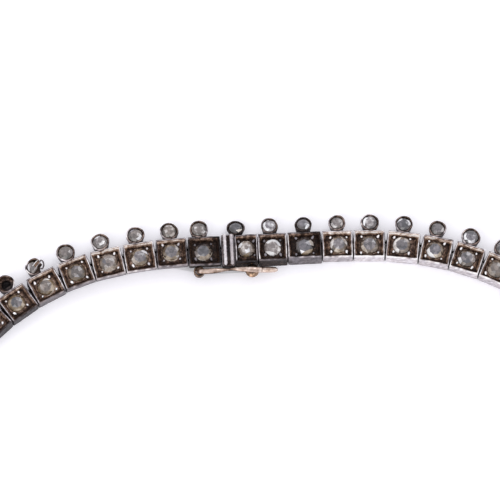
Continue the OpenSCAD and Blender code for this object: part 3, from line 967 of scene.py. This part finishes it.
def addStud(bm):
    stud = bmesh.new()
    (x, y), r, half = clasp["stud"], clasp["studRadius"], clasp["studHeight"] / 2
    dome = [(r - half + half * cosD(a), half * sinD(a)) for a in range(-90, 91, 15)]
    spinShape(stud, dome, clasp["roundSegments"], 0.6, 1)
    # the half towards the box is black: painted shade between the safety catch and the box wall
    dress(stud, [v for v in stud.verts if v.co.y > -0.1], 0, 1)
    append(bm, stud, Matrix.Translation((x, y, clasp["level"])))
    # the post is black too: painted shade
    post = bmesh.new()
    start = Vector((x, -halfDepth + 0.1, clasp["level"]))
    sweep(post, [start, start + Vector((0, y + halfDepth, 0))], upward,
          lambda t: (clasp["post"], clasp["post"]), 12, 0, 1)
    append(bm, post, Matrix.Identity(4))


def makeClaspUnit(name, node, unit, back, addGold):
    # a silver box with a gold part, whose faces get the second material
    bm = newMesh()
    addUnit(bm, unit, back)
    silverFaces = len(bm.faces)
    addGold(bm)
    bm.faces.ensure_lookup_table()
    for f in bm.faces[silverFaces:]:
        f.material_index = 1
    finishPiece(bm, name, "necklace", [node], [silver, bronze])


makeClaspUnit("hinge_box", "hinge_link", units[hingeUnit], "open", addHinge)
makeClaspUnit("clasp_box_cut", "clasp_box", units[claspUnit], "closed", addStud)


def makeEndBlock():
    bm = newMesh()
    unit = units[blockUnit]
    half, outY, inY, capY = unit["width"] / 2, clasp["blockOut"], clasp["blockIn"], clasp["capOut"]
    halfY, capHalf, top, wall = (outY + inY) / 2, (capY + inY) / 2, clasp["blockHeight"], box["wall"]
    low = top - clasp["capHeight"]
    # half length, half depth, corner, height, tone (how clean the silver shows), brown; the upper rings are
    # the cap
    rings = [
        (half * 0.5, capHalf * 0.9, 0.1, top - 0.02, 0.1, 1),
        (half - 0.35, capHalf - 0.12, 0.2, top - 0.01, 0.1, 1),
        (half - 0.16, capHalf - 0.1, 0.3, top, 0.4, 0.3),
        (half - 0.05, capHalf - 0.03, 0.3, top - 0.05, 0.6, 0.2),
        (half, capHalf, 0.3, top - 0.16, 0.4, 0.3),
        (half - 0.01, capHalf, 0.3, low, 0.04, 0.6),
        (half, halfY, 0.3, low - 0.04, 0.02, 0.6),
        (half, halfY, 0.3, 1.3, 0.03, 0.6),
        (half, halfY, 0.3, 0.4, 0.1, 0.4),
        (half, halfY, 0.3, 0.06, 0.2, 0.3),
        (half - 0.05, halfY - 0.05, 0.25, 0, 0.5, 0.2),
        (half - wall, halfY - wall, 0.1, 0, 0.5, 0.3),
        (half - wall, halfY - wall, 0.1, 1.3, 0.2, 0.6),
        (half - wall, halfY - wall, 0.1, box["plate"], 0.1, 0.6),
        (0.3, 1, 0.2, box["plate"], 0.1, 0.6),
    ]

    def settle(turn, ring, share):
        ringX, ringY, corner, height, clean, brown = ring
        x, y = squarePoint(turn, ringX, ringY, corner)
        # cap and block end in the same plane on the inner side
        point = Vector((x * share, y * share + ringY - capHalf, height))
        streak = 0.85 + 0.15 * math.sin(x * 31)
        return point + handMade(point, 0.04, 3), clean * streak, brown

    block = bmesh.new()
    stack(block, rings, box["segments"], settle, (0, halfY - capHalf, box["plate"]))
    bmesh.ops.translate(block, vec=(0, (capY - inY) / 2, 0), verts=block.verts)
    r, short, steps, wave = clasp["ribRadius"], clasp["ribShort"], clasp["ribSteps"], clasp["ribWave"]

    def radii(t):
        close = 4 * min(t, 1 - t)
        wide = r * min(1, 0.8 + close) * (1 + 0.1 * math.sin(t * 95) * math.sin(t * 31))
        return wide, r * 0.85 * min(1, 0.75 + close) * (1 + 0.08 * math.sin(t * 83))

    length = capY + inY - 2 * short
    for number, x in enumerate(clasp["ribs"]):
        path = [Vector((x + wave * vary(k, 20 + number), capY - short - length * k / steps, top - 0.02))
                for k in range(steps + 1)]
        sweep(block, path, upward, radii, 12, 0.82 - 0.1 * number, 0.2)
    addTongue(block, unit)
    append(bm, block, unitMatrix(unit))
    finishPiece(bm, "ribbed_end_block", "necklace", ["tongue"], [silver])


def addTongue(bm, unit):
    # the folded strip that springs into the clasp box
    half, width, thick = unit["width"] / 2, clasp["tongueWidth"], clasp["tongueThick"]
    high, low = box["plate"] - clasp["tongueDown"] - thick / 2, clasp["tongueLow"] + thick / 2
    mouth = half + necklace["mouthGap"]
    end = mouth + units[claspUnit]["width"] - box["wall"] - clasp["tongueShort"]
    fold = [(half - 0.16, 0, low), (end - 0.6, 0, low), (end - 0.12, 0, low + 0.03),
            (end - 0.08, 0, low + 0.14), (end - 0.5, 0, low + 0.24), (mouth + box["wall"] + 0.1, 0, high)]
    sweep(bm, smoothPath(fold, 3), Vector((0, 1, 0)), lambda t: (thick / 2 * 0.9, width / 2), 12, 0.7, 0.2)


makeEndBlock()


# Safety catch: a wire bent to an eight, upright on its edge, with a flattened thumb tab

catch = {
    "wire": 0.21,
    "height": 2.0,
    "waist": 4.7,
    "eyeEnd": 10.6,
    "length": 12.8,
    "tab": 0.5,
    "pin": 0.5,
    "pinLength": 1.36,
    "pinEdge": 0.05,
    "slant": -2,
    # along the bar: its distance from a straight line, and its width
    "bends": [(0, 0.06), (1, 0.1), (3.2, 0.24), (4.6, 0.36), (5.5, 0.4), (7.3, 0.38), (8.6, 0.3),
              (10, 0.26), (11.5, 0.24), (12.8, 0.22)],
    "widths": [(0, 0.6), (0.3, 0.8), (2.4, 0.86), (4.6, 0.48), (5.5, 0.5), (7.3, 0.78), (8.6, 0.94),
               (10, 0.98), (11.4, 1.06), (12.3, 0.94), (12.7, 0.6), (12.8, 0.2)],
    "shear": 0.26,          # how far the upper strand stands over the lower one, towards the viewer
}


def between(table, x):
    for (a, first), (b, second) in zip(table, table[1:]):
        if x <= b:
            t = min(max((x - a) / (b - a), 0), 1)
            return first + (second - first) * t * t * (3 - 2 * t)
    return table[-1][1]


def makeCatch():
    bm = bmesh.new()
    layers = layersOf(bm)
    r = catch["wire"]
    arm = catch["height"] / 2 - r
    waist, end = catch["waist"] - 0.1, catch["eyeEnd"] - r

    def strand(points, thickness, segments):
        path = smoothPath(points, 4)
        last = len(path) - 1

        def radii(t):
            x = path[round(t * last)].x
            return thickness(t), between(catch["widths"], x) / 2

        sweep(bm, path, Vector((0, 1, 0)), radii, segments, 0.62, 0)

    # from the hinge to the eye's end, and back upside down
    shape = [(0.05, 1), (1.2, 1), (2.8, 0.98), (3.8, 0.6), (waist, 0), (5.5, -0.7), (6.6, -1), (8.4, -1),
             (9.5, -0.66), (end, 0)]
    there = [(x, 0, arm * high) for x, high in shape]
    back = [(x, 0, -arm * high) for x, high in shape[-2::-1]]
    strand(there + back, lambda t: r * 0.96, 12)
    tab = [(end - 0.1, 0, 0), (end + 0.6, 0, 0.02), (end + 1.4, 0, 0), (end + 2, 0, 0),
           (catch["length"], 0, 0)]
    strand(tab, lambda t: catch["tab"] * (0.6 + 0.4 * sinD(90 * min(1, t * 1.1))) * (1 - t ** 8 * 0.4), 14)
    for v in bm.verts:
        x = v.co.x
        # painted shade on the lower strand, under the upper one, and on the hinge half's edge towards the
        # viewer; the waist is darker too
        clean = 0.53 + 0.08 * (x > 6) - 0.4 * (v.co.z < 0) * (x < end)
        lowEdge = max(0, -math.sin(v[layers["turn"]])) ** 2 * (x < 6)
        v[layers["clean"]] = clean - 0.2 * math.exp(-((x - 5) / 0.7) ** 2) - 0.4 * lowEdge
        v.co.y += between(catch["bends"], x) - catch["shear"] * v.co.z
    slant = Matrix.Rotation(math.radians(catch["slant"]), 3, "Z")
    bmesh.ops.rotate(bm, cent=(0, 0, 0), matrix=slant, verts=bm.verts)
    half, wide, edge = catch["pinLength"] / 2, catch["pin"], catch["pinEdge"]
    pin = bmesh.new()
    profile = [(wide - edge, -half), (wide, edge - half), (wide, half - edge), (wide - edge, half)]
    # the pin is nearly black: painted shade inside the hinge tube
    spinShape(pin, profile, 24, 0.02, 0)
    append(bm, pin, Matrix.Identity(4))
    bmesh.ops.translate(bm, vec=(*clasp["hinge"], clasp["level"]), verts=bm.verts)
    finishPiece(bm, "figure_eight_catch", "catch", ["safety_catch"], [roseGold], sharp=50)


makeCatch()


# Stones: rose cuts, each a little different

rose = {
    # rings of corners: how many, radius, height, turn in degrees, unevenness
    "rings": [(16, 0.985, 0, 0, 0), (16, 1, 0.2, 0, 0.006), (16, 0.94, 0.42, 0, 0.01),
              (8, 0.66, 0.82, 0, 0.025), (5, 0.3, 1, 20, 0.06)],
    "flat": 3,              # facets that differ less, in degrees, become one
    "tableTo": 0.6,         # where table and girdle begin and end, as a share of the radius
    "girdleFrom": 0.9,
    "girdleShade": 0.85,
    "uneven": 0.09,         # how far the tone of a facet varies
    "crownUneven": 1.5,     # times that round the table
    "glintPlace": 0.8,      # usual distance of a glint from the middle
    "glintReach": 0.16,
}

# Painted reflections of each stone: tone and warmth of the table, of the ring of facets round it, then the
# painted glints and shades on them: direction (0 to the right, 90 to the outer side), half its width, tone,
# warmth, and the distance from the middle, from 0 to 1, where it isn't the usual one. Stones next to the
# clasp follow the photo, the others vary.
rowStones = {
    65: ((0.53, 0.1), (0.5, 0.9), [(-30, 22, 0.78, 0.9), (-85, 40, 0.62, 1), (170, 60, 0.42, 0, 0.45)]),
    66: ((0.56, 0.4), (0.48, 0.9), [(85, 26, 0.84, 0.3), (0, 44, 0.64, 0.9), (0, 60, 1, 0.9, 1.1),
                                    (180, 60, 0.42, 0.9)]),
    67: ((0.49, 0.3), (0.42, 0.7), [(-90, 40, 0.52, 0.9), (90, 20, 0.62, 0.1, 0.45),
                                    (-90, 14, 0.66, 0, 0.45)]),
    68: ((0.63, 0.3), (0.52, 0.6), [(-70, 40, 0.66, 0.7), (-70, 60, 1, 0.8, 1.1), (160, 40, 0.52, 0, 0.45),
                                    (80, 60, 0.66, 0.4)]),
    69: ((0.6, 0.1), (0.5, 0.7), [(40, 22, 0.9, 0), (215, 34, 0.8, 0.6), (-80, 34, 0.62, 0.9)]),
    70: ((0.58, 0.1), (0.5, 0.7), [(-90, 45, 0.62, 0.9), (-90, 70, 1, 0.9, 1.1), (35, 24, 0.74, 0.3),
                                   (-40, 14, 0.76, 0.3)]),
    71: ((0.52, 0), (0.42, 0.5), [(205, 24, 0.74, 0.3), (-75, 44, 0.68, 0.8), (-75, 64, 1, 0.8, 1.1),
                                  (90, 50, 0.38, 0.2)]),
    0: ((0.68, 0.35), (0.66, 0.5), [(150, 26, 1, 0), (-70, 34, 0.84, 0, 0.45), (-90, 26, 0.62, 0.9)]),
    1: ((0.66, 0.25), (0.72, 0.3), [(100, 50, 1, 0), (25, 20, 0.95, 0), (245, 30, 0.96, 0.2)]),
    2: ((0.5, 0), (0.4, 0.3), [(232, 14, 0.3, 0.4), (256, 28, 0.96, 0.1, 0.6), (20, 26, 0.8, 0.5),
                               (-70, 36, 0.72, 0.9)]),
    3: ((0.6, 0.1), (0.5, 0.6), [(165, 40, 0.82, 0.4), (30, 40, 0.84, 0.4), (270, 30, 0.72, 0.9)]),
    4: ((0.57, 0.1), (0.47, 0.6), [(215, 30, 0.76, 0.7), (-60, 30, 0.58, 0.6)]),
    5: ((0.57, 0.1), (0.5, 0.6), [(175, 75, 0.88, 0.4), (35, 24, 0.82, 0.3), (-60, 50, 0.46, 0, 0.45)]),
    6: ((0.58, 0), (0.48, 0.6), [(215, 40, 0.92, 0.2), (-70, 30, 0.74, 0.9)]),
    7: ((0.56, 0.1), (0.46, 0.5), [(200, 20, 0.9, 0.1), (0, 30, 0.7, 0.3), (-90, 30, 0.42, 0, 0.4)]),
    8: ((0.56, 0.4), (0.48, 0.6), [(200, 30, 0.7, 0.6)]),
}
cupStones = {
    66: ((0.58, 0.2), (0.48, 0.4), [(180, 40, 0.8, 0)]),
    67: ((0.53, 0.3), (0.38, 0.5), [(0, 30, 0.6, 0.2)]),
    68: ((0.66, 0.2), (0.53, 0.3), [(-50, 50, 0.86, 0.2, 0.5), (120, 30, 0.84, 0)]),
    69: ((0.58, 0.3), (0.45, 0.4), [(-40, 26, 0.92, 0, 0.75), (120, 30, 0.7, 0)]),
    70: ((0.59, 0.4), (0.47, 0.5), [(90, 40, 0.8, 0.3), (200, 30, 0.8, 0.3, 0.4), (-50, 26, 0.74, 0.4)]),
    71: ((0.6, 0.3), (0.47, 0.4), [(190, 40, 0.78, 0.2, 0.5), (-40, 20, 0.8, 0.2), (80, 40, 0.4, 0.5)]),
    0: ((0.42, 0), (0.3, 0.2), [(-45, 22, 0.92, 0.8, 0.7)]),
    1: ((0.76, 0), (0.72, 0.1), [(200, 60, 0.96, 0)]),
    2: ((0.6, 0), (0.45, 0.2), [(-45, 30, 0.92, 0)]),
    3: ((0.59, 0.2), (0.44, 0.4), [(220, 34, 0.84, 0.2), (0, 34, 0.8, 0.3)]),
    4: ((0.7, 0.15), (0.55, 0.2), [(160, 46, 0.95, 0, 0.7)]),
    5: ((0.44, 0), (0.34, 0.2), [(135, 30, 0.92, 0), (10, 24, 0.9, 0)]),
    6: ((0.58, 0.1), (0.42, 0.3), [(-10, 30, 0.78, 0.2)]),
    7: ((0.6, 0), (0.44, 0.2), [(180, 34, 0.92, 0), (-90, 30, 0.88, 0)]),
    8: ((0.6, 0), (0.5, 0.3), [(90, 40, 0.8, 0)]),
}


def stoneLooks(i, table):
    if i in table:
        return table[i]
    bright = (360 * vary(i, 17), 26 + 14 * vary(i, 27), 0.86 + 0.08 * vary(i, 18), 0.3 + 0.3 * vary(i, 19))
    warm = (360 * vary(i, 28), 28, 0.7, 0.8)
    return (0.62 + 0.08 * vary(i, 16), 0.1), (0.46 + 0.06 * vary(i, 29), 0.4), [bright, warm]


def cutStone(radius, height, looks, heading, seed):
    # round girdle, a ring of broad facets, a ring of long ones and a wide low table, in one convex skin
    bm = bmesh.new()
    dice = random.Random(seed)
    table, crown, glints = looks
    start = dice.uniform(0, 45)
    for count, size, level, turn, loose in rose["rings"]:
        made = bmesh.ops.create_circle(bm, segments=count, radius=size * radius)["verts"]
        turned = Matrix.Rotation(math.radians(start + turn), 3, "Z")
        bmesh.ops.rotate(bm, cent=(0, 0, 0), matrix=turned, verts=made)
        for v in made:
            v.co.x += dice.uniform(-loose, loose) * radius
            v.co.y += dice.uniform(-loose, loose) * radius
            v.co.z = level * height
    hull = bmesh.ops.convex_hull(bm, input=bm.verts, use_existing_faces=False)
    spare = [g for g in hull["geom_interior"] + hull["geom_unused"] if isinstance(g, bmesh.types.BMVert)]
    bmesh.ops.delete(bm, geom=[v for v in spare if v.is_valid], context="VERTS")
    bmesh.ops.dissolve_limit(bm, angle_limit=math.radians(rose["flat"]), verts=bm.verts, edges=bm.edges)
    # each facet gets a painted tone: reflection, with glints and shade
    toneLayer, warmLayer = bm.faces.layers.float.new("tone"), bm.faces.layers.float.new("warm")
    for f in bm.faces:
        c = f.calc_center_median()
        away = math.hypot(c.x, c.y) / radius
        seen = math.degrees(math.atan2(c.y, c.x)) + heading
        onTable = away < rose["tableTo"]
        tone, warm = table if onTable else crown
        tone += dice.uniform(-rose["uneven"], rose["uneven"]) * (1 if onTable else rose["crownUneven"])
        for direction, half, glintTone, glintWarm, *place in glints:
            off = abs((seen - direction + 180) % 360 - 180)
            middle = place[0] if place else rose["glintPlace"]
            if off < half and abs(away - middle) < rose["glintReach"]:
                tone, warm = glintTone, glintWarm
        if away > rose["girdleFrom"]:
            tone *= rose["girdleShade"]
        f[toneLayer], f[warmLayer] = min(1, max(0, tone)), warm
    return bm


def makeStones():
    row, small = bmesh.new(), bmesh.new()
    for bm in (row, small):
        bm.faces.layers.float.new("tone")
        bm.faces.layers.float.new("warm")
    sink = Matrix.Translation((0, 0, box["play"] - cup["seat"]))
    for unit in units[:blockUnit]:
        i, heading = unit["index"], unit["heading"]
        radius, offX, offY = unit["stone"]
        stone = cutStone(radius, box["stoneHeight"], stoneLooks(i, rowStones), heading, i)
        append(row, stone, unitMatrix(unit) @ Matrix.Translation((offX, offY, box["seat"] + box["play"])))
        if i != emptyCup:
            stone = cutStone(unit["cupRadius"] - cup["rim"], cup["stoneHeight"], stoneLooks(i, cupStones),
                             heading, i + 200)
            if i == tornCup:
                # set in what is left of its cup
                squeeze = (1 - cup["tearWidth"] / 2, cup["tornDepth"], 1)
                bmesh.ops.scale(stone, vec=squeeze, verts=stone.verts)
                bmesh.ops.translate(stone, vec=(cup["tornShift"], 0, 0), verts=stone.verts)
            append(small, stone, cupMatrix(unit) @ sink)
    finishPiece(row, "row_stones", "necklace", ["main_stones"], [diamond], sharp=0)
    finishPiece(small, "small_stones", "necklace", ["cup_stones"], [diamond], sharp=0)


makeStones()


# Floor, light and world

stage = {
    "floorHalf": 4,             # in metres
    "floorLevel": -0.03,
    "floorColour": (0.93, 0.925, 0.94),
    "glow": (0.93, 0.9, 1),
    "glowStrength": 0.22,
    "shadeLevel": -0.02,
    "shadeHalf": 1.8,
    "claspShade": 3.2,          # also under the safety catch
    "worldColour": (0.97, 0.97, 1.0),
    "worldStrength": 0.95,
    # name, size, power, place, colour
    "lights": [("key_light", 0.6, 1.3, (-0.3, -0.45, 0.6), (1, 1, 1)),
               ("back_light", 0.35, 0.8, (0.35, 0.5, 0.6), (0.95, 0.96, 1))],
}


def makeFloor():
    # the paper glows a little, painted light that lifts its shadows, except in a strip under the row and
    # the safety catch, which doesn't glow: painted shade that keeps the gaps between the boxes dark
    bm = bmesh.new()
    bmesh.ops.create_grid(bm, x_segments=1, y_segments=1, size=stage["floorHalf"])
    bmesh.ops.translate(bm, vec=(0, 0, stage["floorLevel"] * millimetre), verts=bm.verts)
    openLayer = bm.faces.layers.float.new("open")
    for f in bm.faces:
        f[openLayer] = 1
    made = []
    for unit in units:
        atClasp = unit["index"] in (hingeUnit, blockUnit, claspUnit)
        inner = stage["claspShade"] if atClasp else stage["shadeHalf"]
        pair = [Vector((0, y, stage["shadeLevel"])) for y in (-inner, stage["shadeHalf"])]
        made.append([bm.verts.new(unitMatrix(unit) @ p * millimetre) for p in pair])
    for (a, b), (c, d) in zip(made, made[1:] + made[:1]):
        bm.faces.new((a, c, d, b))
    mesh = bpy.data.meshes.new("floor")
    bm.to_mesh(mesh)
    bm.free()
    m = Finish("floor_paper")
    glow = m.mix(m.attribute("open"), (0, 0, 0, 1), (*stage["glow"], 1))
    mesh.materials.append(m.close(baseColor=(*stage["floorColour"], 1), roughness=0.9,
                                  glow=glow, glowStrength=stage["glowStrength"]))
    addObject("floor", mesh)


def addLight(name, size, power, place, colour):
    data = bpy.data.lights.new(name, "AREA")
    data.shape, data.size, data.energy, data.color = "DISK", size, power, colour
    obj = addObject(name, data)
    obj.location = place
    aimAlong(obj, -Vector(place))
    obj.visible_camera = False


def makeWorld():
    world = bpy.data.worlds.new("world")
    world.use_nodes = True
    background = world.node_tree.nodes["Background"]
    background.inputs["Color"].default_value = (*stage["worldColour"], 1)
    background.inputs["Strength"].default_value = stage["worldStrength"]
    bpy.context.scene.world = world


makeFloor()
makeWorld()
for light in stage["lights"]:
    addLight(*light)
bpy.context.scene.view_settings.view_transform = "Standard"
print("set the stage")
